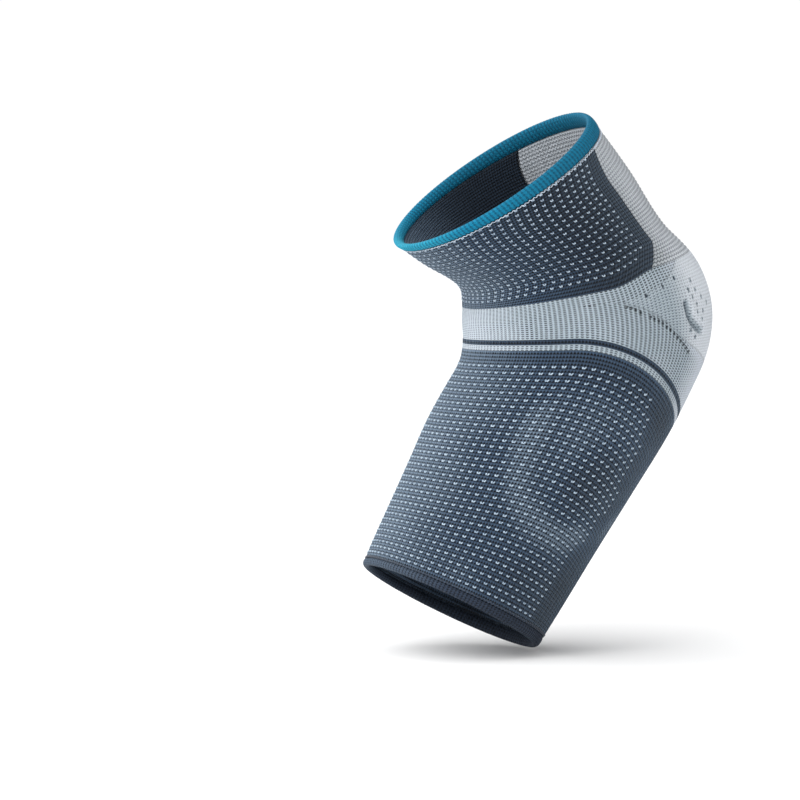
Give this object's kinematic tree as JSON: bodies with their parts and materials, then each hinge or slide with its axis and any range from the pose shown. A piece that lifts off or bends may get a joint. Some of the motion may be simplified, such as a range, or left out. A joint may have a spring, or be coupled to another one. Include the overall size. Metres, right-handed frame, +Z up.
{
  "type": "elbow pad",
  "caption": "Knitted compression elbow support in its bent worn shape, with coloured knit zones, folded elastic hems and soft horseshoe pads pocketed at both sides.",
  "frame": {"origin": "a point on the elbow's flexion axis, in the middle of the sleeve", "axes": "+X from the crook of the elbow towards its tip, +Z up the picture plane of the bent arm, and -Y towards the outer (lateral) side"},
  "size_m": [0.1495, 0.0852, 0.2134],
  "materials": {
    "teal_knit": "matte",
    "elastic": "matte",
    "pale_thread": "matte",
    "navy_dotted_knit": "matte",
    "pale_rib_knit": "matte",
    "pale_mesh_knit": "matte",
    "navy_knit": "matte",
    "navy_thread": "matte",
    "gel_pad": "satin",
    "navy_lining": "matte"
  },
  "bodies": {
    "upper": {"top_welt": "teal_knit", "top_welt_elastic": "elastic", "top_seam_thread": "pale_thread", "upper_panel": "navy_dotted_knit", "back_wedge": "pale_rib_knit"},
    "forearm": {"elbow_band": "pale_mesh_knit", "elbow_cup": "pale_mesh_knit", "dark_stripe": "navy_knit", "light_stripe": "pale_rib_knit", "forearm_sleeve": "navy_dotted_knit", "lower_welt": "navy_knit", "lower_welt_elastic": "elastic", "lower_seam_thread": "navy_thread", "lateral_pad": "gel_pad", "medial_pad": "gel_pad", "lateral_pad_pocket": "navy_lining", "medial_pad_pocket": "navy_lining", "lateral_pocket_seam": "navy_thread", "medial_pocket_seam": "navy_thread"}
  },
  "joints": [
    {"name": "elbow_flexion", "type": "hinge", "parent": "upper", "child": "forearm", "pos_m": [0, 0, 0], "axis": [0, 1, 0], "range_deg": [-75, 35], "stiffness_Nm_per_rad": 0.4, "deforming": ["upper_panel", "back_wedge", "elbow_band", "elbow_cup", "dark_stripe", "light_stripe"]}
  ]
}
